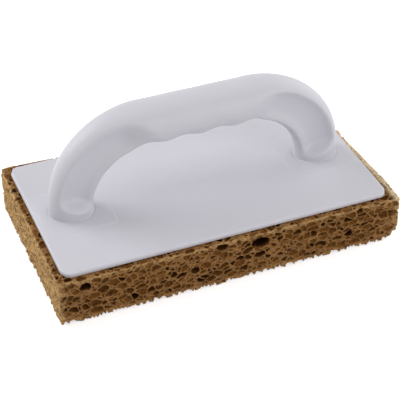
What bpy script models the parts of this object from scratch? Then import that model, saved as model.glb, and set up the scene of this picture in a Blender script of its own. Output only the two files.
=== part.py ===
"""Sponge float for wiping grout: a moulded plate with a loop handle, glued on an open-pored sponge block.

Metres, +Z up. The sponge rests on Z = 0 and its long side lies along X, with the origin under its middle.
"""

import math
import random

import bmesh
import bpy
from mathutils import Matrix, Vector

# Plate
PLATE_LENGTH = 0.240
PLATE_WIDTH = 0.129
PLATE_THICKNESS = 0.0032
PLATE_CORNER_RADIUS = 0.006
PLATE_EDGE_RADIUS = 0.0014

# Raised zones that the feet stand on, at both ends of the plate
ZONE_RISE = 0.00025
ZONE_HALF_WIDTH = 0.025
ZONE_INNER_END = 0.067
ZONE_END_SETBACK = 0.0018

# Sponge block under the plate
SPONGE_OVERHANG = 0.005
SPONGE_HEIGHT = 0.0355
SPONGE_CORNER_RADIUS = 0.006
SPONGE_TOP_RADIUS = 0.0015
SPONGE_WEAR_RADIUS = 0.003
GLUE_GAP = 0.0003

# Coarse and fine pores of the sponge: lengths, spacing on each kind of wall, and form
COARSE_PORE_LENGTH = (0.0060, 0.0110)
COARSE_PORE_DEPTH = 0.0030
COARSE_SIDE_SPACING = 0.0200
COARSE_BASE_SPACING = 0.040
FINE_PORE_LENGTH = (0.0030, 0.0056)
FINE_PORE_DEPTH = 0.0019
FINE_SIDE_SPACING = 0.0142
FINE_BASE_SPACING = 0.036
PORE_FLATNESS = (0.50, 0.78)
PORE_DEPTH_SPREAD = (0.80, 1.15)
PORE_LEVEL = (-0.0004, 0.0003)
PORE_ROUGHNESS = 0.16
PORE_CLEARANCE = 1.12
PORE_SIDES = 6
PORE_TRIES = 12
PORE_SEED = 11

# The deepest hole, in the front wall near the glued edge
HOLE_PLACE = 0.0195
HOLE_LENGTH = 0.0115
HOLE_HEIGHT = 0.0068
HOLE_DEPTH = 0.0050
HOLE_BELOW_TOP = 0.0065

# Plain patch of the wiping face that the block rests on
REST_PATCH_RADIUS = 0.012

# Loop handle
HANDLE_SPAN = 0.2184
HANDLE_RISE = 0.0756
LOOP_DEPTH = 0.0315
GRIP_WIDTH = 0.0335
FOOT_WIDTH = 0.026
OUTER_BEND_RADIUS = 0.0685
INNER_BEND_RADIUS = 0.0427
FOOT_SINK = 0.0015

# Finger hollows under the grip
FINGER_PITCH = 0.0254
FINGER_DEPTH = 0.0022
FINGER_COUNT = 4

# Scoops in both sides of each leg
SCOOP_DEPTH = 0.0042
SCOOP_OUTER_RIM = 0.005
SCOOP_INNER_RIM = 0.003
SCOOP_ABOVE_PLATE = 0.0065
SCOOP_GRIP_END = 0.046
SCOOP_END_LENGTH = 0.011
SCOOP_SQUARENESS = 2.6
SCOOP_FLAT_SHARE = 0.12

# Steps of the rounded forms
CORNER_STEPS = 5
EDGE_STEPS = 3
LEG_STEPS = 3
BEND_STEPS = 18
GRIP_STEPS = 12
OUTER_FLANK_STEPS = 4
SCOOP_STEPS = 7
INNER_FLANK_STEPS = 3

# Heights and half sizes that follow
SPONGE_LENGTH = PLATE_LENGTH + 2 * SPONGE_OVERHANG
SPONGE_WIDTH = PLATE_WIDTH + 2 * SPONGE_OVERHANG
PLATE_BASE = SPONGE_HEIGHT + GLUE_GAP
PLATE_TOP = PLATE_BASE + PLATE_THICKNESS
GRIP_TOP = PLATE_TOP + HANDLE_RISE
LOOP_INNER_TOP = GRIP_TOP - LOOP_DEPTH
OUTER_HALF_SPAN = HANDLE_SPAN / 2
INNER_HALF_SPAN = OUTER_HALF_SPAN - LOOP_DEPTH


def clear_scene():
    for item in list(bpy.data.objects):
        bpy.data.objects.remove(item, do_unlink=True)


def principled(name, colour, roughness, metallic):
    material = bpy.data.materials.new(name)
    material.use_nodes = True
    shader = material.node_tree.nodes["Principled BSDF"]
    shader.inputs["Base Color"].default_value = (*colour, 1.0)
    shader.inputs["Roughness"].default_value = roughness
    shader.inputs["Metallic"].default_value = metallic
    return material


def add_object(name, bm, material=None):
    bmesh.ops.recalc_face_normals(bm, faces=bm.faces[:])
    mesh = bpy.data.meshes.new(name)
    bm.to_mesh(mesh)
    bm.free()
    item = bpy.data.objects.new(name, mesh)
    bpy.context.collection.objects.link(item)
    if material:
        mesh.materials.append(material)
    return item


def add_boolean(target, other, operation):
    """Cut or join with a helper solid, which stays out of the render and the build."""
    other.hide_render = True
    other.display_type = "WIRE"
    step = target.modifiers.new(other.name, "BOOLEAN")
    step.operation = operation
    step.solver = "EXACT"
    step.object = other
    return step


def skin(bm, rings):
    """Closed skin over equal rings of points, with a face over the first and the last ring."""
    rows = [[bm.verts.new(point) for point in ring] for ring in rings]
    count = len(rings[0])
    for low, high in zip(rows, rows[1:]):
        for i in range(count):
            j = (i + 1) % count
            bm.faces.new((low[i], low[j], high[j], high[i]))
    bm.faces.new(rows[0][::-1])
    bm.faces.new(rows[-1])


def rounded_outline(length, width, corner, height):
    """Rounded rectangle at one height, with the same number of points whatever its size."""
    points = []
    for quarter, (sx, sy) in enumerate(((1, 1), (-1, 1), (-1, -1), (1, -1))):
        cx = sx * (length / 2 - corner)
        cy = sy * (width / 2 - corner)
        for k in range(CORNER_STEPS + 1):
            angle = (quarter + k / CORNER_STEPS) * math.pi / 2
            points.append((cx + corner * math.cos(angle), cy + corner * math.sin(angle), height))
    return points


def slab_rings(length, width, corner, base, top, base_radius, top_radius):
    """Outlines of a slab whose lower and upper edges are rounded."""
    levels = []
    for k in range(EDGE_STEPS + 1):
        angle = k / EDGE_STEPS * math.pi / 2
        inset = base_radius * (1 - math.sin(angle))
        levels.append((inset, base + base_radius * (1 - math.cos(angle))))
    for k in range(EDGE_STEPS + 1):
        angle = k / EDGE_STEPS * math.pi / 2
        inset = top_radius * (1 - math.cos(angle))
        levels.append((inset, top - top_radius * (1 - math.sin(angle))))
    if base_radius == 0:
        levels = levels[EDGE_STEPS:]
    if top_radius == 0:
        levels = levels[:-EDGE_STEPS]
    return [
        rounded_outline(length - 2 * inset, width - 2 * inset, corner - inset, height)
        for inset, height in levels
    ]


def loop_outline(half_span, top, radius):
    """Left half of a loop outline, foot to middle, as (x, z) points: leg, quarter bend, half of the grip."""
    foot = PLATE_TOP - FOOT_SINK
    bend_x = radius - half_span
    bend_z = top - radius
    points = [(-half_span, foot + (bend_z - foot) * k / LEG_STEPS) for k in range(LEG_STEPS)]
    for k in range(BEND_STEPS + 1):
        angle = math.pi - k / BEND_STEPS * math.pi / 2
        points.append((bend_x + radius * math.cos(angle), bend_z + radius * math.sin(angle)))
    points += [(bend_x * (1 - k / GRIP_STEPS), top) for k in range(1, GRIP_STEPS + 1)]
    return [Vector((x, 0.0, z)) for x, z in points]


def finger_lift(x):
    """Height of the finger hollows above the plain underside of the grip."""
    if abs(x) > FINGER_COUNT / 2 * FINGER_PITCH:
        return 0.0
    return FINGER_DEPTH * (1 - math.cos(2 * math.pi * x / FINGER_PITCH)) / 2


def place_along(run, places, value):
    """Distance along the loop at which a place that only grows passes a value."""
    for k in range(len(run) - 1):
        if places[k] <= value <= places[k + 1]:
            share = (value - places[k]) / (places[k + 1] - places[k])
            return run[k] + share * (run[k + 1] - run[k])
    raise ValueError("the scoop ends beyond the loop")


def scoop_sink(across, along, bulge):
    """How far the side of a leg is pressed in: flat across the rims, then a spoon below that flat."""
    reach = (abs(across) ** SCOOP_SQUARENESS + along ** SCOOP_SQUARENESS) ** (1 / SCOOP_SQUARENESS)
    if reach >= 1:
        return 0.0
    flat = min(1.0, (1 - reach) / SCOOP_FLAT_SHARE)
    return bulge * flat + SCOOP_DEPTH * (1 - reach ** 2)


def side_angles(depth):
    """Angles from the outer to the inner edge of a section, with the scoop's rims on two of them."""
    outer_rim = math.acos(1 - 2 * SCOOP_OUTER_RIM / depth)
    inner_rim = math.acos(2 * SCOOP_INNER_RIM / depth - 1)
    angles = [outer_rim * k / OUTER_FLANK_STEPS for k in range(OUTER_FLANK_STEPS)]
    angles += [outer_rim + (inner_rim - outer_rim) * k / SCOOP_STEPS for k in range(SCOOP_STEPS)]
    angles += [inner_rim + (math.pi - inner_rim) * k / INNER_FLANK_STEPS for k in range(INNER_FLANK_STEPS + 1)]
    return angles, outer_rim, inner_rim


def loop_section(outer, inner, half_width, along):
    """Oval ring between an outer and an inner point of the loop, with a scoop in each side."""
    middle = (outer + inner) / 2
    arm = (outer - inner) / 2
    angles, outer_rim, inner_rim = side_angles(2 * arm.length)
    side = []
    for angle in angles:
        across = 2 * (angle - outer_rim) / (inner_rim - outer_rim) - 1
        width = half_width * math.sin(angle)
        share = (math.cos(angle) - math.cos(inner_rim)) / (math.cos(outer_rim) - math.cos(inner_rim))
        chord = half_width * (share * math.sin(outer_rim) + (1 - share) * math.sin(inner_rim))
        sink = scoop_sink(across, along, width - chord)
        side.append((middle + arm * math.cos(angle), width - sink))
    front = [point - Vector((0, width, 0)) for point, width in side]
    back = [point + Vector((0, width, 0)) for point, width in side[-2:0:-1]]
    return front + back


def handle_rings():
    """Sections of the whole loop, from the left foot over the grip to the right foot."""
    outer = loop_outline(OUTER_HALF_SPAN, GRIP_TOP, OUTER_BEND_RADIUS)
    inner = loop_outline(INNER_HALF_SPAN, LOOP_INNER_TOP, INNER_BEND_RADIUS)
    inner = [point + Vector((0, 0, finger_lift(point.x))) for point in inner]
    middles = [(a + b) / 2 for a, b in zip(outer, inner)]
    run = [0.0]
    for low, high in zip(middles, middles[1:]):
        run.append(run[-1] + (high - low).length)
    foot_end = place_along(run, [point.z for point in middles], PLATE_TOP + SCOOP_ABOVE_PLATE)
    grip_end = place_along(run, [point.x for point in middles], -SCOOP_GRIP_END)
    left = []
    for k, (a, b) in enumerate(zip(outer, inner)):
        climb = min(1.0, max(0.0, (middles[k].z - PLATE_TOP) / (middles[-1].z - PLATE_TOP)))
        half_width = (FOOT_WIDTH + (GRIP_WIDTH - FOOT_WIDTH) * climb) / 2
        before = (foot_end + SCOOP_END_LENGTH - run[k]) / SCOOP_END_LENGTH
        after = (run[k] - grip_end + SCOOP_END_LENGTH) / SCOOP_END_LENGTH
        left.append(loop_section(a, b, half_width, max(0.0, before, after)))
    right = [[Vector((-p.x, p.y, p.z)) for p in ring] for ring in reversed(left[:-1])]
    return left + right


def build_handle_plate():
    plastic = principled("white_plastic", (0.62, 0.61, 0.645), 0.42, 0.0)
    bm = bmesh.new()
    skin(bm, slab_rings(PLATE_LENGTH, PLATE_WIDTH, PLATE_CORNER_RADIUS, PLATE_BASE, PLATE_TOP, 0, PLATE_EDGE_RADIUS))
    plate = add_object("handle_plate", bm, plastic)

    zone_length = PLATE_LENGTH / 2 - ZONE_END_SETBACK - ZONE_INNER_END
    zone_base = PLATE_TOP - PLATE_THICKNESS / 2
    for name, side in (("left_zone", -1), ("right_zone", 1)):
        bm = bmesh.new()
        bmesh.ops.create_cube(bm, size=1.0)
        size = (zone_length, 2 * ZONE_HALF_WIDTH, PLATE_TOP + ZONE_RISE - zone_base)
        place = Vector((side * (ZONE_INNER_END + zone_length / 2), 0, zone_base + size[2] / 2))
        bmesh.ops.scale(bm, vec=size, verts=bm.verts)
        bmesh.ops.translate(bm, vec=place, verts=bm.verts)
        add_boolean(plate, add_object(name, bm), "UNION")

    bm = bmesh.new()
    skin(bm, handle_rings())
    add_boolean(plate, add_object("loop_handle", bm), "UNION")
    plate.data.shade_smooth()
    plate.data.set_sharp_from_angle(angle=math.radians(40))
    return plate


def clear_of(pores, centre, radii):
    """True where an ellipsoid stays clear of the pores that are already placed."""
    for _, other_centre, other_radii in pores:
        reach = [(centre[i] - other_centre[i]) / (radii[i] + other_radii[i]) for i in range(3)]
        if math.hypot(*reach) < PORE_CLEARANCE:
            return False
    return True


def scatter_pores(rng, pores, facing, sign, spacing, lengths, depth):
    """Pores over one wall, which faces along an axis, X to Z as 0 to 2; they lie flat and never meet."""
    half = (SPONGE_LENGTH / 2, SPONGE_WIDTH / 2, SPONGE_HEIGHT / 2)
    long_axis = 1 if facing == 0 else 0
    flat_axis = 3 - facing - long_axis
    wanted = round(4 * half[long_axis] * half[flat_axis] / spacing ** 2)
    for _ in range(wanted * PORE_TRIES):
        long_radius = rng.uniform(*lengths) / 2
        radii = [0.0, 0.0, 0.0]
        radii[long_axis] = long_radius
        radii[flat_axis] = long_radius * rng.uniform(*PORE_FLATNESS)
        radii[facing] = depth * rng.uniform(*PORE_DEPTH_SPREAD)
        centre = [0.0, 0.0, SPONGE_HEIGHT / 2]
        centre[long_axis] += rng.uniform(-1, 1) * half[long_axis]
        centre[flat_axis] += rng.uniform(-1, 1) * half[flat_axis]
        centre[facing] += sign * (half[facing] + rng.uniform(*PORE_LEVEL))
        on_patch = facing == 2 and math.hypot(*centre[:2]) < REST_PATCH_RADIUS + long_radius
        if on_patch or not clear_of(pores, centre, radii):
            continue
        pores.append((facing, centre, radii))
        wanted -= 1
        if wanted == 0:
            break


def pore_places(rng):
    """Wall axis, centre and radii of every pore: the deepest hole, then the coarse and the fine ones."""
    hole_centre = (HOLE_PLACE, -SPONGE_WIDTH / 2, SPONGE_HEIGHT - HOLE_BELOW_TOP)
    pores = [(1, hole_centre, (HOLE_LENGTH / 2, HOLE_DEPTH, HOLE_HEIGHT / 2))]
    sizes = (
        (COARSE_SIDE_SPACING, COARSE_BASE_SPACING, COARSE_PORE_LENGTH, COARSE_PORE_DEPTH),
        (FINE_SIDE_SPACING, FINE_BASE_SPACING, FINE_PORE_LENGTH, FINE_PORE_DEPTH),
    )
    for side_spacing, base_spacing, lengths, depth in sizes:
        for sign in (-1, 1):
            scatter_pores(rng, pores, 0, sign, side_spacing, lengths, depth)
            scatter_pores(rng, pores, 1, sign, side_spacing, lengths, depth)
        scatter_pores(rng, pores, 2, -1, base_spacing, lengths, depth)
    return pores


def add_pore(rng, bm, facing, centre, radii):
    """One uneven ellipsoid with its poles on the wall's axis; a fine one is a double pyramid."""
    rounds = 4 if max(radii) > FINE_PORE_LENGTH[1] / 2 else 2
    made = bmesh.ops.create_uvsphere(bm, u_segments=PORE_SIDES, v_segments=rounds, radius=1.0)
    axis = Vector([1.0 if k == facing else 0.0 for k in range(3)])
    turn = axis.to_track_quat("Z", "Y").to_matrix().to_4x4()
    for vert in made["verts"]:
        vert.co *= 1 + rng.uniform(-PORE_ROUGHNESS, PORE_ROUGHNESS)
    place = Matrix.Translation(Vector(centre)) @ Matrix.Diagonal((*radii, 1.0)) @ turn
    bmesh.ops.transform(bm, matrix=place, verts=made["verts"])


def build_sponge_pad():
    cellulose = principled("brown_cellulose", (0.23, 0.125, 0.05), 0.95, 0.0)
    bm = bmesh.new()
    skin(bm, slab_rings(SPONGE_LENGTH, SPONGE_WIDTH, SPONGE_CORNER_RADIUS, 0, SPONGE_HEIGHT,
                        SPONGE_WEAR_RADIUS, SPONGE_TOP_RADIUS))
    pad = add_object("sponge_pad", bm, cellulose)

    rng = random.Random(PORE_SEED)
    bm = bmesh.new()
    for facing, centre, radii in pore_places(rng):
        add_pore(rng, bm, facing, centre, radii)
    add_boolean(pad, add_object("pores", bm), "DIFFERENCE").use_self = True
    pad.data.shade_smooth()
    pad.data.set_sharp_from_angle(angle=math.radians(40))
    return pad


def main():
    clear_scene()
    build_sponge_pad()
    build_handle_plate()


main()
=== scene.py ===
"""Looks of a sponge float: a moulded plate with a loop handle, glued on an open-pored sponge block.

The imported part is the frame: it gives the plate's and the sponge's outer sizes. The pieces keep to them,
apart from the swollen end of the sponge and its uneven cell walls. Metres, +Z up.
"""

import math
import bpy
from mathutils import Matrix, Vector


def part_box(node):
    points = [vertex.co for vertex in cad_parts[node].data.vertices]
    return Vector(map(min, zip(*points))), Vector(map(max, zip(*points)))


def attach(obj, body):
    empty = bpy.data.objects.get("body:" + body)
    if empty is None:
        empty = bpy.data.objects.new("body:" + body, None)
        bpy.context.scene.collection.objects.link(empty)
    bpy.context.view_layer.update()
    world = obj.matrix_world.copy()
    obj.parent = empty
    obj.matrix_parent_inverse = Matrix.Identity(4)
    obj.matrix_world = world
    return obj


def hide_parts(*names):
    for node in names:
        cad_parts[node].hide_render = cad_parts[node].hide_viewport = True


bl_info = {
    "name": "Sponge Float",
    "version": (1, 0, 0),
    "blender": (4, 5, 0),
    "location": "3D View > Sidebar > Sponge Float",
    "description": "Models a sponge float with a moulded loop handle, and a plain studio round it",
    "category": "Add Mesh",
}

import bmesh
import bpy
import numpy as np
from bpy.props import FloatProperty, FloatVectorProperty, IntProperty, PointerProperty
from mathutils import Vector

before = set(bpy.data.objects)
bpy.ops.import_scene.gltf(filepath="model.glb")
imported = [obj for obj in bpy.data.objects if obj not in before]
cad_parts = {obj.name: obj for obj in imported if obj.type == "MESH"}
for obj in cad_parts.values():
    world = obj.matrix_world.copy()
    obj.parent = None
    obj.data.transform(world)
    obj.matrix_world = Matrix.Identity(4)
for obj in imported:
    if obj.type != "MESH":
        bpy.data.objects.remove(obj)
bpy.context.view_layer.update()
PLATE_LOW, PLATE_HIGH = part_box("handle_plate")
PAD_LOW, PAD_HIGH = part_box("sponge_pad")


def length(name, description, default, low=0.0):
    return FloatProperty(
        name=name, description=description, default=default, min=low, unit="LENGTH", precision=4
    )


def number(name, description, default, **kind):
    return FloatProperty(name=name, description=description, default=default, **kind)


def colour(name, description, default):
    return FloatVectorProperty(
        name=name, description=description, default=default, size=3, subtype="COLOR", min=0.0, max=1.0
    )


class MouldingSettings(bpy.types.PropertyGroup):
    """Sizes of the plate and its loop handle, beyond those that the frame gives."""

    plate_thickness: length("Plate thickness", "Height of the plate's edge", 0.0032)
    plate_corner: length("Plate corner", "Corner radius of the plate, seen from above", 0.006)
    plate_edge: length("Plate edge", "Radius of the plate's upper edge", 0.0015)
    under_edge: length("Under edge", "Radius of the plate's lower edge", 0.0003)
    handle_span: length("Handle span", "Outer width of the loop over both legs", 0.2184)
    loop_depth: length("Loop depth", "Thickness of grip and legs in the loop's plane", 0.0315)
    grip_width: length("Grip width", "Thickness of the grip across the loop", 0.0335)
    foot_width: length("Foot width", "Thickness of a foot across the loop", 0.026)
    outer_bend: length("Outer bend", "Radius of the loop's outer corners", 0.0685)
    inner_bend: length("Inner bend", "Radius of the loop's inner corners", 0.0427)
    foot_fillet: length("Foot fillet", "Radius where a foot runs into the plate", 0.0007)
    finger_pitch: length("Finger pitch", "Distance between two finger hollows", 0.0254)
    finger_depth: length("Finger depth", "Depth of the finger hollows", 0.0022)
    finger_count: IntProperty(name="Finger hollows", description="Number of finger hollows", default=4, min=0)
    scoop_depth: length("Scoop depth", "Depth of the scoop in each side of a leg", 0.0042)
    scoop_outer_rim: length("Scoop outer rim", "From the loop's outer edge to the scoop", 0.0050)
    scoop_inner_rim: length("Scoop inner rim", "From the loop's inner edge to the scoop", 0.0030)
    scoop_softness: number("Scoop softness", "Share of a scoop that its rounded rim takes", 0.54)
    scoop_above_plate: length("Scoop foot end", "Height of the scoop's lower end above the plate", 0.0090)
    scoop_grip_end: length("Scoop grip end", "From the loop's middle to the scoop's upper end", 0.046)
    scoop_grip_run: length("Scoop grip run", "Length over which the scoop runs out into the grip", 0.022)
    scoop_foot_run: length("Scoop foot run", "Length over which the scoop ends above the foot", 0.0065)
    zone_rise: length("Zone rise", "Height of the flat zones that the feet stand on", 0.00025)
    zone_half_width: length("Zone half width", "From the plate's middle line to a zone's long side", 0.025)
    zone_inner_end: length("Zone inner end", "From the plate's middle to a zone's inner side", 0.067)
    zone_setback: length("Zone setback", "From a zone's outer side to the plate's end", 0.0028)
    zone_ramp: length("Zone ramp", "Width of the soft step round a zone", 0.0007)
    sink_depth: length("Sink depth", "Depth of the soft sink marks in the plate", 0.00012)
    sink_pitch: length("Sink pitch", "Wavelength of the low waves in the plate", 0.055)
    sink_clearance: length("Sink clearance", "From a foot's middle to the first sink marks", 0.017)
    sink_ramp: length("Sink ramp", "Width over which the sink marks begin round a foot", 0.006)
    groove_width: length("Groove width", "Half width of the sink mark across the plate", 0.0016)


class SpongeSettings(bpy.types.PropertyGroup):
    """Sizes of the sponge block's edges and cells."""

    mesh_step: length("Mesh step", "Width of one mesh cell on the walls", 0.00042)
    corner: length("Corner", "Corner radius of the block, seen from above", 0.0016)
    top_edge: length("Top edge", "Radius of the edge beside the plate", 0.0012)
    worn_edge: length("Worn edge", "Radius of the lower edge", 0.0009)
    margin: length("Margin", "Width of the finely modelled strip round the top and the underside", 0.0070)
    cell_pitch: length("Cell pitch", "Pitch of the foam's cells, along the block", 0.0037)
    large_cell: length("Large cell", "Radius that the largest cells grow to, along the block", 0.0052)
    flatness: number("Flatness", "Height of a cell over its length", 0.70)
    skin: length("Skin", "Thickness of the walls between cells", 0.00080)
    rounding: length("Rounding", "How softly the walls run into each other", 0.00018)
    rim_width: length("Rim width", "Width over which a cell's side falls away", 0.00030)
    shallow: length("Shallow cell", "Depth of the shallowest cells", 0.0011)
    deep: length("Deep cell", "Depth of the deepest cells", 0.0046)
    lip: length("Lip", "How much thicker the walls are along the upper edge", 0.0005)
    crumb_pitch: length("Crumb pitch", "Pitch of the small cells in the walls and near the underside", 0.0021)
    crumb_height: length("Crumb height", "Height up to which the small cells reach", 0.0060)
    crumb_depth: length("Crumb depth", "Depth of the small cells", 0.0009)
    crumb_skin: length("Crumb skin", "Thickness of the walls between small cells", 0.0002)
    crumb_rim: length("Crumb rim", "Width over which a small cell's side falls away", 0.00022)
    pit_depth: length("Pit depth", "Depth of the small cells in the walls of the large ones", 0.0009)
    warp: length("Warp", "How far the cells are bent out of shape", 0.0008)
    unevenness: length("Unevenness", "Height of the slow waves in the walls", 0.0004)
    upper_fray: length("Upper fray", "Depth of the bites in the upper edge at +X", 0.0018)
    floor_gap: length("Floor gap", "Height of the lowest cell walls above the floor", 0.0001)
    fray: length("Fray", "Depth of the bites in the lower edge", 0.0038)
    tongue: length("Tongue", "Pitch of the torn tongues along the lower edge", 0.0052)
    bulge: length("Bulge", "How far the end at +X swells out, towards the front", 0.0026)
    worn_corner: length("Worn corner", "Radius of the crumbled corner at the lower front, at +X", 0.0075)
    hole_place: length("Hole place", "From the block's middle to the deep hole, along X", 0.0195, -1.0)
    hole_length: length("Hole length", "Length of the deep hole", 0.0135)
    hole_height: length("Hole height", "Height of the deep hole", 0.0086)
    hole_depth: length("Hole depth", "Depth of the deep hole", 0.0120)
    hole_below_top: length("Hole below top", "From the glued face to the middle of the deep hole", 0.0076)
    seed: IntProperty(name="Seed", description="Seed of the foam", default=7)


class FinishSettings(bpy.types.PropertyGroup):
    """Colours of the two materials and of the studio."""

    plastic: colour("Plastic", "Colour of the moulding", (0.600, 0.590, 0.640))
    wall: colour("Sponge wall", "Colour of the cut cell walls", (0.290, 0.149, 0.055))
    # Skins inside cells: partly their own redder colour, partly painted shade of the hollows
    pore: colour("Sponge pore", "Colour of the thin skins inside shallow cells", (0.185, 0.076, 0.017))
    # Painted shade: the deepest cells and the deep hole take this near-black colour in place of their shade
    deep: colour("Sponge depth", "Colour of the deepest cells", (0.060, 0.018, 0.002))
    # Orange of the crumbly strip: partly the sponge's own colour, partly painted light shining through the
    # thin frayed edge
    orange_and_glow: colour("Sponge rust", "Colour of the crumbly strip along the underside", (0.350, 0.165, 0.056))
    # Paler colour of the ends, painted light from the side, and of the upper band and the crumbly strip
    pale_and_lit: colour("Sponge dry", "Colour of the paler_lit ends and edges", (0.660, 0.420, 0.185))
    fibre: colour("Sponge fibre", "Colour of the thin frayed edge at +X", (0.800, 0.640, 0.420))
    floor: colour("Floor", "Colour of the floor", (0.80, 0.80, 0.80))


class StageSettings(bpy.types.PropertyGroup):
    """Camera and lamps."""

    heading: number("Heading", "Camera's turn from +X", math.radians(67.80), subtype="ANGLE")
    pitch: number("Pitch", "Camera's tilt below the horizon", math.radians(37.49), subtype="ANGLE")
    distance: length("Distance", "From the camera to the point it looks at", 0.9834)
    aim: FloatVectorProperty(name="Aim", description="Point that the camera looks at", size=3, unit="LENGTH",
                             default=(0.0040, 0.0029, 0.0179))
    lens: number("Lens", "Focal length", 122.06, subtype="DISTANCE_CAMERA")
    lamp_power: number("Lamps", "Power of the key lamp; the others keep their shares", 13.4, unit="POWER")
    sky: number("Sky", "Strength of the light from all round", 0.44)


# Azimuth from +X and elevation in degrees, width in metres, and share of the key lamp's power
LAMPS = (
    ("key_lamp", 138, 30, 1.0, 1.0),
    ("front_lamp", 300, 22, 1.0, 0.62),
    ("side_lamp", 22, 20, 1.0, 0.42),
    ("top_lamp", 90, 88, 1.0, 0.36),
)
LAMP_DISTANCE = 1.6
SPOON_POWER = 2.6
FLOOR_GLOW = 0.58
FLOOR_HALF_WIDTH = 6.0

# Strips along the block's edges: height and inset of each
LIP_STRIP = (0.0030, 0.0020)
TORN_STRIP = (0.0036, 0.0065)
BITTEN_STRIP = (0.0030, 0.0035)
PALE_STRIP = (0.0050, 0.0030)
FRAYED_STRIP = (0.0030, 0.0070)
CRUMBLY_INSET = 0.006
PALE_END = 0.009

# Scale of each stored value, so that it lies between 0 and 1
WALL_SCALE = 0.002
DEPTH_SCALE = 0.006
CRUMB_SCALE = 0.001


def settings(name):
    return getattr(bpy.context.scene, "sponge_float_" + name)


def smooth(value):
    """Soft step: 3t² - 2t³ of a value held between 0 and 1."""
    t = np.clip(value, 0.0, 1.0)
    return t * t * (3 - 2 * t)


def waves(points, wavelength, seed, count=9):
    """Smooth noise between about -1 and 1: a sum of sine waves in seeded directions, near one wavelength."""
    rng = np.random.default_rng(seed)
    directions = rng.normal(size=(count, 3))
    directions /= np.linalg.norm(directions, axis=1)[:, None]
    numbers = 2 * np.pi / (wavelength * rng.uniform(0.6, 1.6, count))
    phases = rng.uniform(0, 2 * np.pi, count)
    return np.sin(points @ (directions * numbers[:, None]).T + phases).sum(axis=1) / math.sqrt(count) / 1.5


def make_object(name, points, faces, material):
    """Object at the origin from an array of points and a list of faces."""
    mesh = bpy.data.meshes.new(name)
    mesh.from_pydata(points.tolist(), [], faces)
    mesh.materials.append(material)
    mesh.update()
    item = bpy.data.objects.new(name, mesh)
    bpy.context.scene.collection.objects.link(item)
    return item


def finish_piece(item, slot, *nodes):
    item.data.shade_smooth()
    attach(item, "root")
    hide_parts(*nodes)


# Loop handle and plate


def loop_stations(s):
    """Outer and inner edge of the right half of the loop, from its middle down to the foot.

    Each edge is a straight half grip, a quarter circle and a straight leg. Both have the same number of
    stations, closer together near the foot, where the scoop ends. The inner edge rises into each finger
    hollow as half of 1 - cos(2 pi x / pitch).
    """
    outer_x = s.handle_span / 2
    inner_x = outer_x - s.loop_depth
    outer_z = PLATE_HIGH.z
    inner_z = outer_z - s.loop_depth
    foot_z = PLATE_LOW.z + s.plate_thickness + s.foot_fillet
    grip = np.linspace(0.0, 1.0, 45)[:-1]
    bend = np.pi / 2 * (1 - np.linspace(0.0, 1.0, 92)[:-1]) ** 1.25
    leg = np.linspace(0.0, 1.0, 12)

    def edge(x, z, radius):
        bend_x, bend_z = x - radius, z - radius
        run_x = np.concatenate([grip * bend_x, bend_x + radius * np.cos(bend), np.full(len(leg), x)])
        run_z = np.concatenate([np.full(len(grip), z), bend_z + radius * np.sin(bend),
                                bend_z + (foot_z - bend_z) * leg])
        return np.stack([run_x, run_z], axis=1)

    outer = edge(outer_x, outer_z, s.outer_bend)
    inner = edge(inner_x, inner_z, s.inner_bend)
    reach = s.finger_count / 2 * s.finger_pitch
    lift = s.finger_depth * (1 - np.cos(2 * np.pi * inner[:, 0] / s.finger_pitch)) / 2
    inner[:, 1] += np.where(inner[:, 0] < reach, lift, 0.0)
    return outer, inner


def scoop_sink(s, across, along, bulge):
    """Depth of the scoop, a spoon in a flat across the leg, with a rounded rim.

    The distance from the spoon's middle is the superellipse (|across|^n + along^n)^(1/n). The share t
    inside the rim is one minus it, with a parabola in place of the kink at the rim, and the spoon's depth
    goes with 2t - t^2. The rim is crisper towards the loop's outside, where across is -1. The flat takes
    the bulge of the leg away across the rim.
    """
    n = SPOON_POWER
    share = 1 - (np.abs(across) ** n + along ** n) ** (1 / n)
    soft = s.scoop_softness * (1 + 0.4 * np.clip(across, -1.5, 1.5))
    rounded = np.where(share > soft, share, np.clip(share + soft, 0.0, None) ** 2 / (4 * soft))
    flat = smooth((share + soft) / (2 * soft))
    return np.maximum(bulge, 0.0) * flat + s.scoop_depth * (2 * rounded - rounded ** 2)


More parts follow.
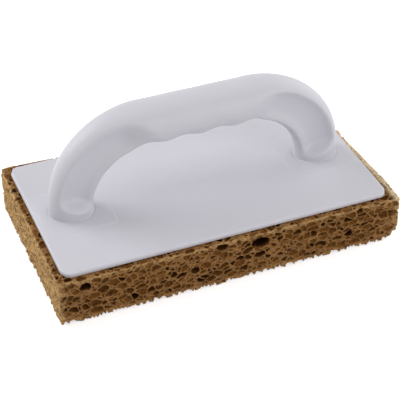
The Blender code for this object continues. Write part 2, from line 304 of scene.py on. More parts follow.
def handle_rings(s):
    """Grid of the right half of the loop: stations on the first axis, points round a section on the second.

    A section is an oval between the outer and the inner edge: middle + arm cos(a) in the loop's plane, and
    half the width times sin(a) across it. The scoops press both sides in.
    """
    outer, inner = loop_stations(s)
    middle = (outer + inner) / 2
    arm = (outer - inner) / 2
    depth = 2 * np.linalg.norm(arm, axis=1)
    top = PLATE_LOW.z + s.plate_thickness
    climb = np.clip((middle[:, 1] - top) / (middle[0, 1] - top), 0.0, 1.0)
    half_width = (s.foot_width + (s.grip_width - s.foot_width) * climb) / 2

    outer_rim = np.arccos(1 - 2 * s.scoop_outer_rim / depth)[:, None]
    inner_rim = np.arccos(2 * s.scoop_inner_rim / depth - 1)[:, None]
    flank = np.linspace(0.0, 1.0, 31)[None, :-1]
    scoop = np.linspace(0.0, 1.0, 45)[None, :-1]
    back = np.linspace(0.0, 1.0, 23)[None, :]
    angle = np.concatenate([flank * outer_rim, outer_rim + scoop * (inner_rim - outer_rim),
                            inner_rim + back * (np.pi - inner_rim)], axis=1)

    steps = np.linalg.norm(np.diff(middle, axis=0), axis=1)
    run = np.concatenate([[0.0], np.cumsum(steps)])
    grip_end = np.interp(s.scoop_grip_end, middle[:, 0], run)
    foot_end = np.interp(-(top + s.scoop_above_plate), -middle[:, 1], run)
    along = np.maximum(1 + (grip_end - run) / s.scoop_grip_run, 1 + (run - foot_end) / s.scoop_foot_run)
    along = np.maximum(along, 0.0)[:, None]

    across = 2 * (angle - outer_rim) / (inner_rim - outer_rim) - 1
    share = (np.cos(angle) - np.cos(inner_rim)) / (np.cos(outer_rim) - np.cos(inner_rim))
    width = half_width[:, None] * np.sin(angle)
    chord = half_width[:, None] * (share * np.sin(outer_rim) + (1 - share) * np.sin(inner_rim))
    width = width - scoop_sink(s, across, along, width - chord)

    side = np.empty((*angle.shape, 3))
    side[..., 0] = middle[:, 0, None] + arm[:, 0, None] * np.cos(angle)
    side[..., 1] = -width
    side[..., 2] = middle[:, 1, None] + arm[:, 1, None] * np.cos(angle)
    other = side[:, -2:0:-1] * np.array([1.0, -1.0, 1.0])
    return np.concatenate([side, other], axis=1)


def fillet_rings(s, foot):
    """Quarter round from the foot's last ring out onto the plate, along the outward normals of that ring."""
    step = np.roll(foot, -1, axis=0) - np.roll(foot, 1, axis=0)
    outward = np.stack([-step[:, 1], step[:, 0], np.zeros(len(foot))], axis=1)
    outward /= np.linalg.norm(outward, axis=1)[:, None]
    middle = foot.mean(axis=0)
    outward *= np.sign(np.sum(outward * (foot - middle), axis=1))[:, None]
    turn = np.linspace(0.0, np.pi / 2, 7)[1:, None, None]
    down = np.array([0.0, 0.0, -s.foot_fillet])
    return foot + outward * s.foot_fillet * (1 - np.cos(turn)) + down * np.sin(turn)


def on_rectangle(centre, directions, low, high, corner=0.0):
    """Where rays from a centre meet a rectangle; the two corners at its high X end may be rounded."""
    with np.errstate(divide="ignore"):
        reach_x = np.where(directions[:, 0] > 0, high[0] - centre[0], low[0] - centre[0]) / directions[:, 0]
        reach_y = np.where(directions[:, 1] > 0, high[1] - centre[1], low[1] - centre[1]) / directions[:, 1]
    reach = np.minimum(np.abs(reach_x), np.abs(reach_y))
    points = centre + directions * reach[:, None]
    core = np.stack([np.minimum(points[:, 0], high[0] - corner),
                     np.clip(points[:, 1], low[1] + corner, high[1] - corner)], axis=1)
    offset = points - core
    size = np.linalg.norm(offset, axis=1)
    rounded = (points[:, 0] > high[0] - corner) & (np.abs(points[:, 1]) > high[1] - corner)
    scale = np.where(rounded & (size > 0), corner / np.maximum(size, 1e-12), 1.0)
    return core + offset * scale[:, None]


def plate_rings(s, foot):
    """Rings on the right half of the plate's top, from the fillet's edge over the raised zone to the rim.

    Every ring keeps the directions of the foot's points from the foot's middle. Height is the zone's rise
    inside its rectangle, and falls to the plate over a soft step.
    """
    top = PLATE_LOW.z + s.plate_thickness
    centre = np.array([foot[:, 0].mean(), 0.0])
    start = foot[:, :2]
    directions = start - centre
    directions /= np.linalg.norm(directions, axis=1)[:, None]
    end_x = PLATE_HIGH.x - s.plate_edge
    end_y = PLATE_HIGH.y - s.plate_edge
    zone_low = np.array([s.zone_inner_end, -s.zone_half_width])
    zone_high = np.array([PLATE_HIGH.x - s.zone_setback, s.zone_half_width])
    inner = on_rectangle(centre, directions, zone_low + s.zone_ramp, zone_high - s.zone_ramp)
    outer = on_rectangle(centre, directions, zone_low, zone_high)
    corner = s.plate_corner - s.plate_edge
    rim = on_rectangle(centre, directions, np.array([0.0, -end_y]), np.array([end_x, end_y]), corner)
    for y in (-end_y, end_y):
        nearest = np.argmax(directions @ (np.array([0.0, y]) - centre))
        rim[nearest] = (0.0, y)

    def between(a, b, count, rise_a, rise_b):
        t = np.linspace(0.0, 1.0, count + 1)[1:, None, None]
        flat = a + (b - a) * t
        rise = rise_a + (rise_b - rise_a) * smooth(t)
        return np.concatenate([flat, np.broadcast_to(top + rise, (*flat.shape[:2], 1))], axis=2)

    rings = [between(start, inner, 16, s.zone_rise, s.zone_rise), between(inner, outer, 5, s.zone_rise, 0.0),
             between(outer, rim, 34, 0.0, 0.0)]
    return np.concatenate(rings, axis=0)


def edge_rings(s, rim):
    """Strip over the plate's edge: a quarter round, the upright edge and a small quarter round below."""
    high = np.array([PLATE_HIGH.x - s.plate_corner, PLATE_HIGH.y - s.plate_corner])
    core = np.stack([np.minimum(rim[:, 0], high[0]), np.clip(rim[:, 1], -high[1], high[1])], axis=1)
    outward = rim[:, :2] - core
    outward /= np.linalg.norm(outward, axis=1)[:, None]
    outward = np.concatenate([outward, np.zeros((len(rim), 1))], axis=1)
    turn = np.linspace(0.0, np.pi / 2, 8)[1:]
    offsets = s.plate_edge * np.sin(turn)
    heights = PLATE_LOW.z + s.plate_thickness - s.plate_edge * (1 - np.cos(turn))
    turn = np.linspace(0.0, np.pi / 2, 4)
    offsets = np.append(offsets, s.plate_edge - s.under_edge * (1 - np.cos(turn)))
    heights = np.append(heights, PLATE_LOW.z + s.under_edge * (1 - np.sin(turn)))
    rings = rim[None, :, :] + outward[None, :, :] * offsets[:, None, None]
    rings[..., 2] = heights[:, None]
    return rings


def plate_relief(s, points):
    """Slow sink marks in the plate's top: a soft groove across its middle, and low waves."""
    groove = np.exp(-(points[:, 0] / s.groove_width) ** 2) * smooth((0.004 - points[:, 1]) / 0.02)
    low_waves = waves(points * np.array([1.0, 1.0, 0.0]), s.sink_pitch, 4)
    return -s.sink_depth * (groove + 0.6 * low_waves)


def quads(first, rows, columns, closed):
    """Faces of a grid of points that starts at an index; closed joins the last column to the first."""
    row = np.arange(rows - 1)[:, None] * columns
    column = np.arange(columns if closed else columns - 1)[None, :]
    following = (column + 1) % columns
    corners = (row + column, row + following, row + columns + following, row + columns + column)
    return first + np.stack(corners, axis=-1).reshape(-1, 4)


def build_moulding(s, material):
    """Half of the moulding as one skin, mirrored in X and welded along the middle."""
    handle = handle_rings(s)
    fillet = fillet_rings(s, handle[-1])
    top = plate_rings(s, fillet[-1])
    grid = np.concatenate([handle, fillet, top], axis=0)
    rows, columns = grid.shape[:2]
    rim = grid[-1]
    on_edge = np.flatnonzero((rim[:, 0] > 1e-9) | (np.abs(rim[:, 1]) > np.abs(rim[:, 1]).max() - 1e-9))
    gap = np.flatnonzero(np.diff(on_edge) > 1)
    on_edge = np.roll(on_edge, -(gap[0] + 1)) if len(gap) else on_edge
    strip = edge_rings(s, rim[on_edge])

    points = np.concatenate([grid.reshape(-1, 3), strip.reshape(-1, 3)])
    last_row = (rows - 1) * columns
    strip_rows = np.concatenate([(last_row + on_edge)[None], rows * columns
                                 + np.arange(strip.shape[0] * len(on_edge)).reshape(strip.shape[:2])])
    faces = quads(0, rows, columns, True)
    corners = (strip_rows[:-1, :-1], strip_rows[:-1, 1:], strip_rows[1:, 1:], strip_rows[1:, :-1])
    faces = np.concatenate([faces, np.stack(corners, axis=-1).reshape(-1, 4)]).tolist()
    faces.append(strip_rows[-1].tolist())

    count = len(points)
    mirrored = points * np.array([-1.0, 1.0, 1.0])
    points = np.concatenate([points, mirrored])
    faces += [[count + i for i in reversed(face)] for face in faces]
    is_top = np.abs(points[:, 2] - (PLATE_LOW.z + s.plate_thickness)) < 2 * s.zone_rise + 1e-6
    from_foot = np.hypot(np.abs(points[:, 0]) - fillet[1, :, 0].mean(), points[:, 1])
    clear = smooth((from_foot - s.sink_clearance) / s.sink_ramp)
    points[:, 2] += np.where(is_top, plate_relief(s, points) * clear, 0.0)

    item = make_object("loop_handle_moulding", points, faces, material)
    bm = bmesh.new()
    bm.from_mesh(item.data)
    bmesh.ops.remove_doubles(bm, verts=bm.verts[:], dist=1e-6)
    bmesh.ops.recalc_face_normals(bm, faces=bm.faces[:])
    bm.to_mesh(item.data)
    bm.free()
    return item


# Sponge block


def block_lattice(counts, margin):
    """Corners of the cells on a block's walls, as whole numbers, and the faces between them.

    Top and underside have a strip of fine cells along their edges. Inside it the underside has cells of
    twice the width, whose outer ones also take in the points halfway along the strip, and one face closes
    the top.
    """
    nx, ny, nz = counts
    square = np.array([(0, 0), (1, 0), (1, 1), (0, 1)])

    def wall(axis, level, outward, count_a, count_b):
        a, b = np.meshgrid(np.arange(count_a), np.arange(count_b), indexing="ij")
        cell = np.stack([a.ravel(), b.ravel()], axis=1)
        corners = cell[:, None, :] + (square if outward else square[::-1])[None]
        return np.insert(corners, axis, level, axis=2)

    def strip(corners):
        low = corners[..., :2].min(axis=1)
        inside = np.minimum(low, np.array([nx, ny]) - 1 - low).min(axis=1)
        return corners[inside < margin]

    walls = [wall(0, nx, True, ny, nz), wall(0, 0, False, ny, nz), wall(1, 0, True, nx, nz),
             wall(1, ny, False, nx, nz), strip(wall(2, 0, False, nx, ny)), strip(wall(2, nz, True, nx, ny))]
    fine = np.concatenate(walls)

    a, b = np.meshgrid(np.arange(margin, nx - margin, 2), np.arange(margin, ny - margin, 2), indexing="ij")
    round_cell = np.array([(0, 0), (0, 1), (0, 2), (1, 2), (2, 2), (2, 1), (2, 0), (1, 0)])
    wide = np.stack([a.ravel(), b.ravel()], axis=1)[:, None, :] + round_cell[None]
    on_strip = np.any((wide == margin) | (wide == np.array([nx, ny]) - margin), axis=2)
    kept = on_strip | (np.arange(8) % 2 == 0)
    wide = np.insert(wide, 2, 0, axis=2)

    top_x = np.arange(margin, nx - margin)
    top_y = np.arange(margin, ny - margin)
    lid = np.concatenate([
        np.stack([top_x, np.full_like(top_x, margin)], axis=1),
        np.stack([np.full_like(top_y, nx - margin), top_y], axis=1),
        np.stack([top_x[::-1] + 1, np.full_like(top_x, ny - margin)], axis=1),
        np.stack([np.full_like(top_y, margin), top_y[::-1] + 1], axis=1),
    ])
    lid = np.insert(lid, 2, nz, axis=1)

    spots = np.concatenate([fine.reshape(-1, 3), wide[kept], lid])
    unique, index = np.unique(spots, axis=0, return_inverse=True)
    index = index.ravel()
    last_fine = fine.shape[0] * 4
    faces = index[:last_fine].reshape(-1, 4).tolist()
    ends = np.cumsum(kept.sum(axis=1))[:-1]
    faces += [face.tolist() for face in np.split(index[last_fine:len(index) - len(lid)], ends)]
    faces.append(index[len(index) - len(lid):].tolist())
    return unique, faces


def block_surface(s, spots, counts):
    """Places and outward normals on a block with rounded corners and edges.

    A point of the underside or top lies at a distance d inside the outline. Within one radius of an edge,
    both faces share a quarter circle: the wall takes its first 45 degrees and the flat face the rest. The
    outline at any inset is a rectangle whose corners are clamped onto arcs.
    """
    half = np.array([PAD_HIGH.x, PAD_HIGH.y])
    height = PAD_HIGH.z
    share = spots / np.array(counts)
    x = (share[:, 0] * 2 - 1) * half[0]
    y = (share[:, 1] * 2 - 1) * half[1]
    z = share[:, 2] * height
    inside = np.minimum(half[0] - np.abs(x), half[1] - np.abs(y))
    inside = np.where(inside < 1e-9, 0.0, inside)
    on_wall = inside == 0

    lower = z < height / 2
    radius = np.where(lower, s.worn_edge, s.top_edge)
    drop = np.where(lower, z, height - z)
    wall_turn = np.pi / 4 * (1 - np.clip(drop / radius, 0, 1))
    flat_turn = np.pi / 4 * (1 + np.clip(inside / radius, 0, 1))
    turn = np.where(on_wall, wall_turn, flat_turn)
    inset = np.where(inside > radius, inside, radius * (1 - np.cos(turn)))
    level = np.where(drop > radius, drop, radius * (1 - np.sin(turn)))
    z = np.where(lower, level, height - level)
    up = np.where(lower, -1.0, 1.0) * np.sin(turn)

    ring_half = half[None, :] - inside[:, None]
    plan = np.stack([x, y], axis=1)
    arc = np.maximum(s.corner - inside, 0.0)[:, None]
    core = np.clip(plan, -(ring_half - arc), ring_half - arc)
    offset = plan - core
    size = np.linalg.norm(offset, axis=1, keepdims=True)
    plain = np.where(np.abs(plan) >= ring_half - 1e-9, np.sign(plan), 0.0)
    plain /= np.maximum(np.linalg.norm(plain, axis=1, keepdims=True), 1.0)
    outward = np.where(size > 1e-9, offset / np.maximum(size, 1e-9), plain)
    plan = np.where(size > 1e-9, core + outward * arc, plan)
    plan = plan - outward * (inset - inside)[:, None]
    points = np.concatenate([plan, z[:, None]], axis=1)
    normals = np.concatenate([outward * np.cos(turn)[:, None], up[:, None]], axis=1)
    return points, normals / np.linalg.norm(normals, axis=1, keepdims=True)


def foam(s, points, pitch, large, seed):
    """Distance from points to the nearest cell wall of a foam, and a random number of the cell they are in.

    The cells are those of a power diagram: a point belongs to the seed with the least d^2 - w^2, with one
    seed at a random place in each box of a lattice, and few large weights w. Heights are divided by the
    flatness first. The distance to the wall against another seed is the difference of the two powers over
    twice the distance of the seeds. The distances to all walls are blended as -k ln(sum of exp(-distance /
    k)), which rounds the cells.
    """
    shape = np.array([1.0, 1.0, s.flatness])
    place = points / shape
    low = place.min(axis=0) - 3 * pitch
    base = np.floor((place - low) / pitch).astype(int)
    size = base.max(axis=0) + 4
    rng = np.random.default_rng(seed)
    corner = np.stack(np.meshgrid(*[np.arange(n) for n in size], indexing="ij"), axis=-1)
    seeds = (low + (corner + rng.random((*size, 3))) * pitch).reshape(-1, 3)
    weights = (large * rng.random(len(seeds)) ** 2.2) ** 2
    character = rng.random(len(seeds))
    stride = np.array([size[1] * size[2], size[2], 1])
    shifts = (np.array(list(np.ndindex(5, 5, 5))) - 2) @ stride
    base = base @ stride

    least = np.full(len(points), np.inf)
    own = np.zeros(len(points), int)
    for shift in shifts:
        other = base + shift
        power = np.sum((place - seeds[other]) ** 2, axis=1) - weights[other]
        nearer = power < least
        least = np.where(nearer, power, least)
        own = np.where(nearer, other, own)
    total = np.full(len(points), 1e-12)
    for shift in shifts:
        other = base + shift
        power = np.sum((place - seeds[other]) ** 2, axis=1) - weights[other]
        across = seeds[other] - seeds[own]
        apart = np.maximum(np.linalg.norm(across / shape, axis=1), 1e-9)
        total += np.where(other != own, np.exp((least - power) / (2 * apart * s.rounding)), 0.0)
    return -s.rounding * np.log(total), character[own]


def deep_hole(s, points, normals):
    """Depth of the one deep hole in the front wall, half an ellipsoid, and the mask of the rim round it."""
    radii = np.array([s.hole_length / 2, s.hole_depth, s.hole_height / 2])
    centre = np.array([s.hole_place, PAD_LOW.y, PAD_HIGH.z - s.hole_below_top])
    offset = (points - centre) / radii
    inward = -normals / radii
    a = np.sum(inward ** 2, axis=1)
    b = np.sum(offset * inward, axis=1)
    c = np.sum(offset ** 2, axis=1) - 1
    depth = np.where(c < 0, (-b + np.sqrt(np.maximum(b * b - a * c, 0))) / a, 0.0)
    return depth, smooth(1 - (np.sqrt(c + 1) - 1) / 0.35) * smooth(-normals[:, 1])


def swell(s, points):
    """Shift of points where the block isn't true: the end at +X swells out towards the front and the top.

    The shift along X is the bulge times three soft steps: over the last 15 mm in X, from the back to the
    front in Y, and over the lowest 12 mm in Z. The back wall swells out by half of it near the other end.
    """
    near_end = smooth((points[:, 0] - PAD_HIGH.x + 0.015) / 0.015)
    forward = smooth((0.015 - points[:, 1]) / 0.075)
    above = smooth((points[:, 2] - 0.001) / 0.011)
    far_end = smooth((-0.07 - points[:, 0]) / 0.035)
    backward = smooth((points[:, 1] - PAD_HIGH.y + 0.010) / 0.010)
    shift = np.zeros_like(points)
    shift[:, 0] = s.bulge * near_end * forward * above
    shift[:, 1] = s.bulge * 0.5 * far_end * backward * above
    return shift


def notches(s, points):
    """Share from 0 to 1 by which the lower edge is torn away, along the outline of the underside.

    Every point takes the value at the nearest place of the outline, so that a notch cuts straight in. The
    value is a soft step of two sums of sine waves, one for the tongues and one for the threads on them.
    """
    half = np.array([PAD_HIGH.x, PAD_HIGH.y])
    plan = points[:, :2]
    nearest = np.argmin(half - np.abs(plan), axis=1)[:, None] == np.arange(2)
    plan = np.where(nearest, np.sign(plan) * half, plan)
    outline = np.concatenate([plan, 0.35 * points[:, 2:]], axis=1)
    tongues = waves(outline, s.tongue, 54) + 0.6 * waves(outline, 0.42 * s.tongue, 55)
    return smooth(0.22 + 0.75 * tongues)


def near_edge(points):
    """Distance of points from the nearest end or long side of the block, and their height under its top."""
    from_end = PAD_HIGH.x - np.abs(points[:, 0])
    from_side = PAD_HIGH.y - np.abs(points[:, 1])
    return np.minimum(from_end, from_side), PAD_HIGH.z - points[:, 2]


def edge_strip(size, height, inset):
    """Mask of a strip along an edge, with soft steps over its height and its inset."""
    return smooth(1 - height / size[0]) * smooth(1 - inset / size[1])


def sponge_relief(s, points, normals, bend):
    """How far each point goes in, and the values that the material reads.

    A point at a distance x inside a cell's rim goes in by depth (1 - exp(-x / rim)) + 0.4 x. The cell's
    random number gives its depth. A finer foam opens pits in the walls, and takes over near the underside.
    """
    wall, character = foam(s, points + bend, s.cell_pitch, s.large_cell, s.seed)
    edge, below_top = near_edge(points)
    wall = np.maximum(wall - s.lip * edge_strip(LIP_STRIP, below_top, edge), 0.0)
    inside = np.maximum(wall - s.skin / 2, 0.0)
    opened = 1 - np.exp(-inside / s.rim_width)
    cell_depth = s.shallow + (s.deep - s.shallow) * character ** 2.5
    depth = cell_depth * opened + 0.4 * inside

    crumb_wall, crumb = foam(s, points + bend, s.crumb_pitch, 0.5 * s.crumb_pitch, s.seed + 1)
    limit = s.crumb_height + 0.001 * waves(points, 0.012, 52)
    crumbly = smooth((limit - points[:, 2]) / s.crumb_height * 1.6) * smooth(1 - edge / CRUMBLY_INSET)
    crumb_open = 1 - np.exp(-np.maximum(crumb_wall - s.crumb_skin / 2, 0.0) / s.crumb_rim)
    pit = crumb_open * smooth(crumb * 3.0 - 1.2) * (1 - crumbly)
    depth = depth * (1 - 0.6 * crumbly) + s.crumb_depth * crumb_open * crumbly * (0.3 + 0.7 * crumb)
    depth = (depth + s.pit_depth * pit) * (1 - 0.5 * smooth(normals[:, 2] * 2 - 1))
    hole, rim = deep_hole(s, points, normals)
    depth = np.where(hole > 0, hole, depth * (1 - rim))
    # The deep hole takes the full painted shade of the deepest cells
    wall = np.where(hole > 0, s.deep, wall)
    character = np.where(hole > 0, 1.0, character)
    values = {"wall": wall / WALL_SCALE, "depth": depth / DEPTH_SCALE, "cell": character, "crumbly": crumbly,
              "crumb": crumb_wall / CRUMB_SCALE, "pit": pit}
    return depth, opened, crumb_open, crumb, values


def sponge_bites(s, points, opened, crumb_open, crumb, character):
    """Depth of what is torn off the lower edge, the lower front corner at +X and the upper edge at +X."""
    edge, below_top = near_edge(points)
    low_edge = edge_strip(TORN_STRIP, points[:, 2], edge)
    bites = crumb_open * smooth(crumb * 1.5 - 0.25)
    bites = np.maximum(bites, opened * smooth(character * 2.0 - 0.8))
    bites = s.fray * low_edge * np.maximum(0.8 * bites, notches(s, points))
    corner = np.array([PAD_HIGH.x, PAD_LOW.y, 0.0])
    away = np.linalg.norm((points - corner) / np.array([1.3, 1.3, 1.0]), axis=1)
    bites += 0.45 * np.maximum(s.worn_corner - away - 0.0012 * waves(points, 0.006, 53), 0.0)
    high_edge = edge_strip(BITTEN_STRIP, below_top, PAD_HIGH.x - points[:, 0])
    return bites + s.upper_fray * high_edge * crumb_open * smooth(crumb * 2.0 - 0.4)


def pale_and_lit_values(points, normals, crumbly):
    """Where the sponge is painted paler: both ends and a strip beside them, as painted light from the side,
    the upper band, the crumbly strip, and the frayed edge at +X.
    """
    edge, below_top = near_edge(points)
    band = edge_strip(PALE_STRIP, below_top, edge)
    frayed = edge_strip(FRAYED_STRIP, below_top, PAD_HIGH.x - points[:, 0])
    from_end = PAD_HIGH.x - np.abs(points[:, 0])
    corner_strip = smooth(1 - from_end / PALE_END + 0.12 * waves(points, 0.008, 56))
    corner_strip *= 0.55 * (1 - smooth(np.abs(normals[:, 2])))
    # Ends painted paler as painted light from the side, a pale strip beside them, the upper band and the
    # crumbly strip
    pale_and_lit = np.stack([np.abs(normals[:, 0]), corner_strip, 0.5 * band, 0.4 * crumbly]).max(axis=0)
    return {"pale_and_lit": pale_and_lit, "frayed": frayed}


def build_sponge(s, material):
    """The block's walls, cut through a foam: the cell walls stay, and the cells between them fall away."""
    spans = np.array([2 * PAD_HIGH.x, 2 * PAD_HIGH.y, PAD_HIGH.z])
    counts = np.round(spans / s.mesh_step).astype(int)
    counts[:2] += counts[:2] % 2
    margin = int(round(s.margin / s.mesh_step))
    spots, faces = block_lattice(counts, margin)
    points, normals = block_surface(s, spots, counts)

    bend = np.stack([waves(points, 0.009, 30 + k) for k in range(3)], axis=1) * s.warp
    depth, opened, crumb_open, crumb, values = sponge_relief(s, points, normals, bend)
    bites = sponge_bites(s, points, opened, crumb_open, crumb, values["cell"])
    depth += bites - s.unevenness * waves(points, 0.03, 41)
    glued = (spots[:, 2] == counts[2]) & (spots[:, :2].min(axis=1) >= margin)
    glued &= (counts[:2] - spots[:, :2]).min(axis=1) >= margin
    placed = points + swell(s, points) - normals * np.where(glued, 0.0, depth)[:, None]
    placed[:, 2] = np.maximum(placed[:, 2], s.floor_gap)

    item = make_object("sponge_block", placed, faces, material)
    values.update(pale_and_lit_values(points, normals, values["crumbly"]))
    for name, value in values.items():
        layer = item.data.attributes.new(name, "FLOAT", "POINT")
        layer.data.foreach_set("value", np.clip(value, 0.0, 1.0).astype(np.float32))
    return item


# Materials


def new_node(tree, kind, inputs=None, **values):
    """Shader node with its settings; each input is joined to a socket, or gets a value or a colour."""
    node = tree.nodes.new(kind)
    for key, value in values.items():
        setattr(node, key, value)
    for key, value in (inputs or {}).items():
        if isinstance(value, bpy.types.NodeSocket):
            tree.links.new(value, node.inputs[key])
        elif node.inputs[key].type == "RGBA":
            node.inputs[key].default_value = (*value, 1.0)
        else:
            node.inputs[key].default_value = value
    return node


def calculate(tree, operation, *values):
    """Result of a maths node on two or three sockets or numbers."""
    return new_node(tree, "ShaderNodeMath", dict(enumerate(values)), operation=operation).outputs[0]


def scaled(tree, colour_value, factor):
    """Colour times a number, both sockets."""
    inputs = {0: colour_value, "Scale": factor}
    return new_node(tree, "ShaderNodeVectorMath", inputs, operation="SCALE").outputs[0]


def mottle_group():
    """Group: a colour made a little lighter and darker in soft patches, and the mask of the patches."""
    group = bpy.data.node_groups.get("mottle")
    if group:
        return group
    group = bpy.data.node_groups.new("mottle", "ShaderNodeTree")
    for name, kind in (("Vector", "NodeSocketVector"), ("Colour", "NodeSocketColor"),
                       ("Scale", "NodeSocketFloat"), ("Amount", "NodeSocketFloat")):
        group.interface.new_socket(name, in_out="INPUT", socket_type=kind)
    group.interface.new_socket("Colour", in_out="OUTPUT", socket_type="NodeSocketColor")
    group.interface.new_socket("Mask", in_out="OUTPUT", socket_type="NodeSocketFloat")
    given = group.nodes.new("NodeGroupInput")
    noise = new_node(group, "ShaderNodeTexNoise", {
        "Vector": given.outputs["Vector"], "Scale": given.outputs["Scale"], "Detail": 4.0, "Roughness": 0.55,
    })
    centred = calculate(group, "SUBTRACT", noise.outputs["Fac"], 0.5)
    gain = calculate(group, "MULTIPLY_ADD", centred, given.outputs["Amount"], 1.0)
    tint = scaled(group, given.outputs["Colour"], gain)
    new_node(group, "NodeGroupOutput", {"Colour": tint, "Mask": noise.outputs["Fac"]})
    return group


def place_mottle(tree, vector, colour_value, scale, amount):
    """Outputs of the mottle group on a colour: the mottled colour and the mask."""
    inputs = {"Vector": vector, "Colour": colour_value, "Scale": scale, "Amount": amount}
    return new_node(tree, "ShaderNodeGroup", inputs, node_tree=mottle_group()).outputs


def new_material(name):
    material = bpy.data.materials.new(name)
    material.use_nodes = True
    tree = material.node_tree
    place = new_node(tree, "ShaderNodeTexCoord")
    return material, tree, tree.nodes["Principled BSDF"], place.outputs["Object"]


def white_plastic(finish):
    """Satin moulded plastic: faint patches, and a fine eroded grain."""
    material, tree, shader, place = new_material("white_plastic")
    patches = place_mottle(tree, place, finish.plastic, 22.0, 0.05)
    tree.links.new(patches["Colour"], shader.inputs["Base Color"])
    grain = new_node(tree, "ShaderNodeTexNoise", {"Vector": place, "Scale": 1500.0, "Detail": 2.0})
    bump = new_node(tree, "ShaderNodeBump", {
        "Height": grain.outputs["Fac"], "Strength": 0.12, "Distance": 0.0003,
    })
    tree.links.new(bump.outputs["Normal"], shader.inputs["Normal"])
    spread = new_node(tree, "ShaderNodeMapRange", {
        "Value": patches["Mask"], "To Min": 0.40, "To Max": 0.52,
    })
    tree.links.new(spread.outputs["Result"], shader.inputs["Roughness"])
    shader.inputs["Specular IOR Level"].default_value = 0.4
    return material


def ramp(tree, value, low, high, first=0.0, last=1.0):
    """Soft step of a value between two limits, from the first to the last result."""
    node = new_node(tree, "ShaderNodeMapRange", {
        "Value": value, "From Min": low, "From Max": high, "To Min": first, "To Max": last,
    }, interpolation_type="SMOOTHSTEP")
    return node.outputs["Result"]


def blend(tree, factor, first, second):
    """Mix of two colours, each a socket or three numbers."""
    inputs = {"Factor": factor, 6: first, 7: second}
    return new_node(tree, "ShaderNodeMix", inputs, data_type="RGBA").outputs[2]


def brown_cellulose(finish):
    """Matte sponge: pale cut walls, redder cell skins, painted shade that deepens in the cells and pinholes,
    ends painted paler as light from the side, and an orange crumbly strip below, partly painted glow.
    """
    material, tree, shader, place = new_material("brown_cellulose")
    value = {}
    for name in ("wall", "depth", "cell", "crumbly", "crumb", "pit", "pale_and_lit", "frayed"):
        value[name] = new_node(tree, "ShaderNodeAttribute", attribute_name=name).outputs["Fac"]
    mapping = new_node(tree, "ShaderNodeMapping", {"Vector": place, "Scale": (1.0, 1.0, 1.6)})
    squashed = mapping.outputs["Vector"]
    pinholes = new_node(tree, "ShaderNodeTexVoronoi", {"Vector": squashed, "Scale": 620.0})
    closed = ramp(tree, pinholes.outputs["Distance"], 0.12, 0.42)
    walls = place_mottle(tree, place, finish.wall, 110.0, 0.9)
    skins = place_mottle(tree, place, finish.pore, 70.0, 1.1)
    # Painted shade: a cell's colour darkens as it is deeper, down to the deepest colour
    deep_cell_shade = ramp(tree, value["cell"], 0.35, 1.0)
    cells = blend(tree, deep_cell_shade, skins["Colour"], finish.deep)
    # Pits in the walls and the insides of cells take the darker skin colour, partly their own and partly
    # painted shade
    surface = blend(tree, ramp(tree, value["pit"], 0.2, 0.9, 0.0, 0.75), walls["Colour"], finish.pore)
    surface = blend(tree, ramp(tree, value["wall"], 0.06, 0.26), surface, cells)
    # Crumbly strip: orange, partly own colour and partly painted glow through the thin edge
    grains = place_mottle(tree, place, finish.orange_and_glow, 260.0, 1.3)
    crumbs = blend(tree, ramp(tree, value["crumb"], 0.15, 0.70), grains["Colour"], finish.pore)
    surface = blend(tree, ramp(tree, value["crumbly"], 0.1, 0.8, 0.0, 0.85), surface, crumbs)
    # Painted light: the ends, and the strips beside them, turn paler as if lit from the side; the upper band
    # and crumbly strip turn paler too
    pale = place_mottle(tree, place, finish.pale_and_lit, 180.0, 1.0)
    pale_and_lit_share = ramp(tree, value["pale_and_lit"], 0.0, 1.0, 0.0, 0.80)
    openness = ramp(tree, value["wall"], 0.06, 0.26, 1.0, 0.78)
    pale_and_lit_share = calculate(tree, "MULTIPLY", pale_and_lit_share, openness)
    surface = blend(tree, pale_and_lit_share, surface, pale["Colour"])
    fibre = place_mottle(tree, place, finish.fibre, 300.0, 0.8)
    surface = blend(tree, ramp(tree, value["frayed"], 0.0, 0.8, 0.0, 0.85), surface, fibre["Colour"])
    # Painted shade: the colour darkens with a point's depth in its cell, down to 0.35
    depth_shade = ramp(tree, value["depth"], 0.10, 0.80, 1.0, 0.35)
    # Painted shade in the pinholes: the colour darkens in each small hole
    pinhole_shade = ramp(tree, closed, 0.0, 1.0, 0.45, 1.0)
    shaded_surface = scaled(tree, surface, calculate(tree, "MULTIPLY", depth_shade, pinhole_shade))
    tree.links.new(shaded_surface, shader.inputs["Base Color"])
    fibres = new_node(tree, "ShaderNodeTexNoise", {"Vector": squashed, "Scale": 900.0, "Detail": 3.0})
    height = calculate(tree, "MULTIPLY_ADD", fibres.outputs["Fac"], 0.5, closed)
    bump = new_node(tree, "ShaderNodeBump", {"Height": height, "Strength": 0.9, "Distance": 0.0006})
    tree.links.new(bump.outputs["Normal"], shader.inputs["Normal"])
    shader.inputs["Roughness"].default_value = 0.95
    shader.inputs["Specular IOR Level"].default_value = 0.06
    return material


def floor_material(finish):
    """Pale floor: the camera sees it a little brighter than it is lit, so that only the shadow shows."""
    material, tree, shader, place = new_material("pale_floor")
    shade = place_mottle(tree, place, finish.floor, 3.0, 0.01)
    tree.links.new(shade["Colour"], shader.inputs["Base Color"])
    shader.inputs["Roughness"].default_value = 0.9
    ray = new_node(tree, "ShaderNodeLightPath").outputs
    seen = calculate(tree, "ADD", ray["Is Camera Ray"], ray["Is Glossy Ray"])
    glow = calculate(tree, "MULTIPLY", seen, FLOOR_GLOW)
    tree.links.new(glow, shader.inputs["Emission Strength"])
    shader.inputs["Emission Color"].default_value = (1.0, 1.0, 1.0, 1.0)
    return material


# Stage


def aim_at(item, place, target):
    item.location = place
    item.rotation_euler = (Vector(target) - Vector(place)).to_track_quat("-Z", "Y").to_euler()


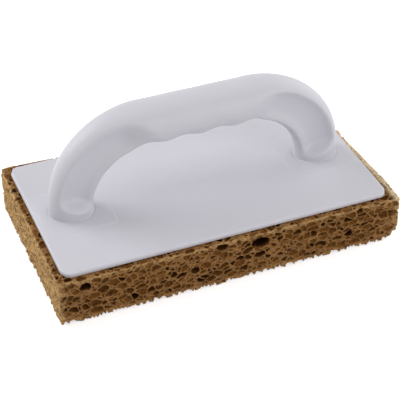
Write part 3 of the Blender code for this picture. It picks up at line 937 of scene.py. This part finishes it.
def add_lamp(name, azimuth, elevation, width, power):
    """Square lamp at the lamps' distance from the middle of the object, aimed at it."""
    lamp = bpy.data.lights.new(name, "AREA")
    lamp.shape = "SQUARE"
    lamp.size = width
    lamp.energy = power
    item = bpy.data.objects.new(name, lamp)
    bpy.context.scene.collection.objects.link(item)
    turn, rise = math.radians(azimuth), math.radians(elevation)
    away = Vector((math.cos(turn) * math.cos(rise), math.sin(turn) * math.cos(rise), math.sin(rise)))
    middle = Vector((0.0, 0.0, 0.04))
    aim_at(item, middle + away * LAMP_DISTANCE, middle)


def add_camera(s):
    """Camera on the line that looks at the aim point, level and without shift."""
    look = Vector((math.cos(s.heading) * math.cos(s.pitch), math.sin(s.heading) * math.cos(s.pitch),
                   -math.sin(s.pitch)))
    data = bpy.data.cameras.new("camera")
    data.lens = s.lens
    data.sensor_width = 36.0
    data.clip_start = 0.05
    item = bpy.data.objects.new("camera", data)
    bpy.context.scene.collection.objects.link(item)
    aim_at(item, Vector(s.aim) - look * s.distance, s.aim)
    bpy.context.scene.camera = item


def light_world(s):
    """Even sky that the camera and mirror-like rays see as plain white."""
    world = bpy.data.worlds.new("studio")
    bpy.context.scene.world = world
    world.use_nodes = True
    tree = world.node_tree
    sky = tree.nodes["Background"]
    sky.inputs["Color"].default_value = (1.0, 1.0, 1.0, 1.0)
    sky.inputs["Strength"].default_value = s.sky
    white = new_node(tree, "ShaderNodeBackground", {"Color": (1.0, 1.0, 1.0), "Strength": 1.0})
    ray = new_node(tree, "ShaderNodeLightPath").outputs
    seen = calculate(tree, "MAXIMUM", ray["Is Camera Ray"], ray["Is Glossy Ray"])
    seen = calculate(tree, "MAXIMUM", seen, ray["Is Transmission Ray"])
    mix = new_node(tree, "ShaderNodeMixShader", {0: seen, 1: sky.outputs[0], 2: white.outputs[0]})
    tree.links.new(mix.outputs[0], tree.nodes["World Output"].inputs["Surface"])


class SPONGEFLOAT_OT_moulding(bpy.types.Operator):
    """Models the plate and its loop handle as one moulding"""

    bl_idname = "sponge_float.moulding"
    bl_label = "Plate and Loop Handle"

    def execute(self, context):
        item = build_moulding(settings("moulding"), white_plastic(settings("finish")))
        finish_piece(item, "white_plastic", "handle_plate")
        return {"FINISHED"}


class SPONGEFLOAT_OT_sponge(bpy.types.Operator):
    """Models the open-pored sponge block"""

    bl_idname = "sponge_float.sponge"
    bl_label = "Sponge Block"

    def execute(self, context):
        item = build_sponge(settings("sponge"), brown_cellulose(settings("finish")))
        finish_piece(item, "brown_cellulose", "sponge_pad")
        return {"FINISHED"}


class SPONGEFLOAT_OT_stage(bpy.types.Operator):
    """Sets the floor, the lamps, the sky and the camera"""

    bl_idname = "sponge_float.stage"
    bl_label = "Floor, Lamps and Camera"

    def execute(self, context):
        s = settings("stage")
        half = FLOOR_HALF_WIDTH
        corners = np.array([(-half, -half, 0.0), (half, -half, 0.0), (half, half, 0.0), (-half, half, 0.0)])
        floor = make_object("floor", corners, [[0, 1, 2, 3]], floor_material(settings("finish")))
        for name, azimuth, elevation, width, share in LAMPS:
            add_lamp(name, azimuth, elevation, width, s.lamp_power * share)
        light_world(s)
        add_camera(s)
        context.scene.view_settings.view_transform = "Standard"
        return {"FINISHED"}


class SPONGEFLOAT_PT_panel(bpy.types.Panel):
    """Sizes, colours and steps of the sponge float"""

    bl_idname = "SPONGEFLOAT_PT_panel"
    bl_label = "Sponge Float"
    bl_space_type = "VIEW_3D"
    bl_region_type = "UI"
    bl_category = "Sponge Float"

    def draw(self, context):
        groups = (("moulding", SPONGEFLOAT_OT_moulding), ("sponge", SPONGEFLOAT_OT_sponge),
                  ("stage", SPONGEFLOAT_OT_stage), ("finish", None))
        for name, operator in groups:
            box = self.layout.box()
            group = settings(name)
            for key in group.bl_rna.properties.keys():
                if key not in {"rna_type", "name"}:
                    box.prop(group, key)
            if operator:
                box.operator(operator.bl_idname)


CLASSES = (
    MouldingSettings, SpongeSettings, FinishSettings, StageSettings,
    SPONGEFLOAT_OT_moulding, SPONGEFLOAT_OT_sponge, SPONGEFLOAT_OT_stage, SPONGEFLOAT_PT_panel,
)
GROUPS = (
    ("moulding", MouldingSettings), ("sponge", SpongeSettings),
    ("finish", FinishSettings), ("stage", StageSettings),
)


def register():
    for item in CLASSES:
        bpy.utils.register_class(item)
    for name, group in GROUPS:
        setattr(bpy.types.Scene, "sponge_float_" + name, PointerProperty(type=group))


def unregister():
    for name, _ in GROUPS:
        delattr(bpy.types.Scene, "sponge_float_" + name)
    for item in reversed(CLASSES):
        bpy.utils.unregister_class(item)


def main():
    register()
    bpy.ops.sponge_float.moulding()
    bpy.ops.sponge_float.sponge()
    bpy.ops.sponge_float.stage()


if __name__ == "__main__":
    main()
